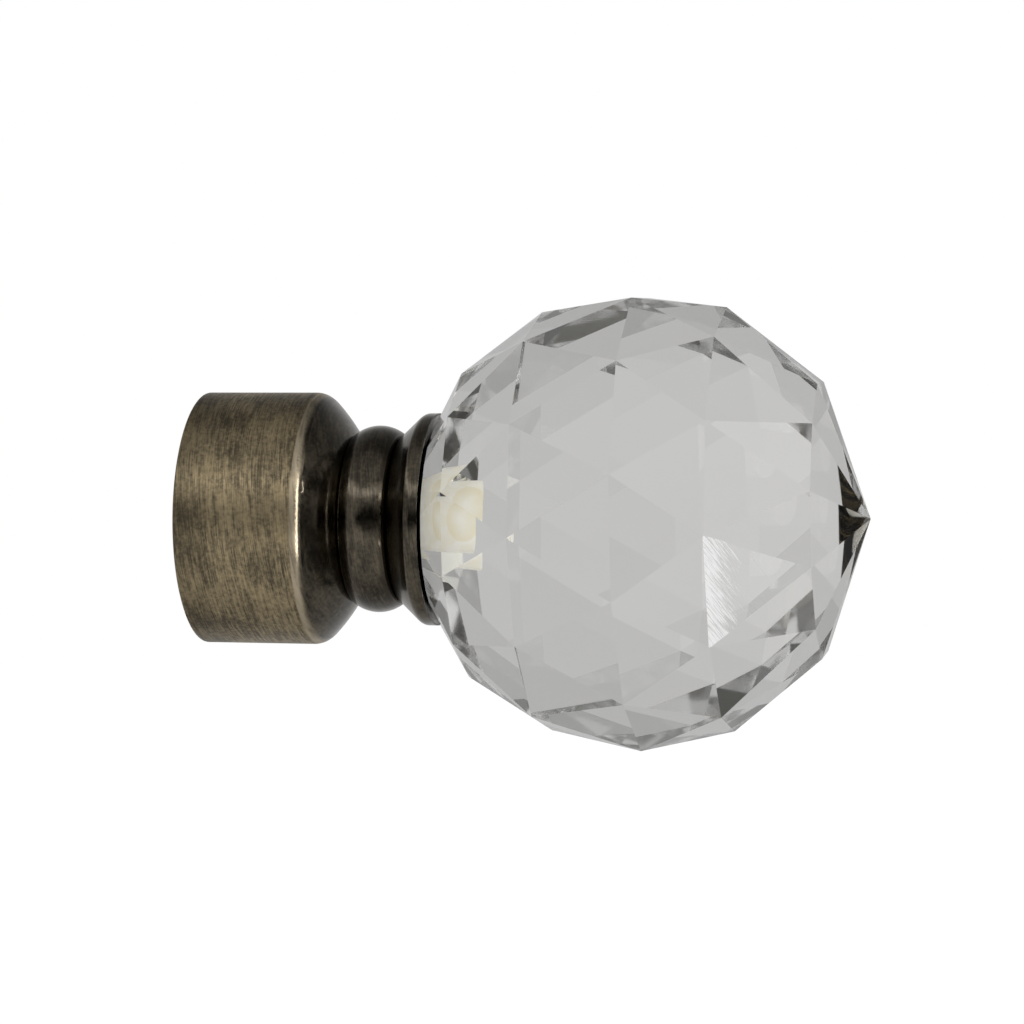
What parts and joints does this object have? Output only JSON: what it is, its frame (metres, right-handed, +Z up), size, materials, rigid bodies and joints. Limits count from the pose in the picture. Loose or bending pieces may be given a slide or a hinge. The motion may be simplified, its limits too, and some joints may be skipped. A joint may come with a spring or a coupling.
{
  "type": "curtain pole finial",
  "caption": "Curtain pole finial: a faceted clear glass ball with a pointed tip on a turned antique brass cup, bead and socket that slides over the end of a pole.",
  "frame": {"origin": "centre of the socket's open mouth, on the axis of the pole", "axes": "+X along the pole's axis, out of its end towards the tip of the ball; +Z up, as it hangs on a level pole; -Y towards the room"},
  "size_m": [0.088, 0.0588, 0.0588],
  "materials": {
    "antique_brass": "brushed around the axis, darkened and lacquered",
    "crystal_glass": "cut and polished, clear",
    "cream_adhesive": "cured, dull",
    "plated_steel": "zinc plated",
    "dark_steel": "black oxide"
  },
  "bodies": {
    "root": {"pole_socket": "antique_brass", "bead_ring": "antique_brass", "ball_cup": "antique_brass", "crystal_ball": "crystal_glass", "ball_adhesive": "cream_adhesive", "threaded_stud": "plated_steel", "stud_washer": "plated_steel", "stud_nut": "plated_steel", "grub_screw": "dark_steel"}
  },
  "joints": []
}
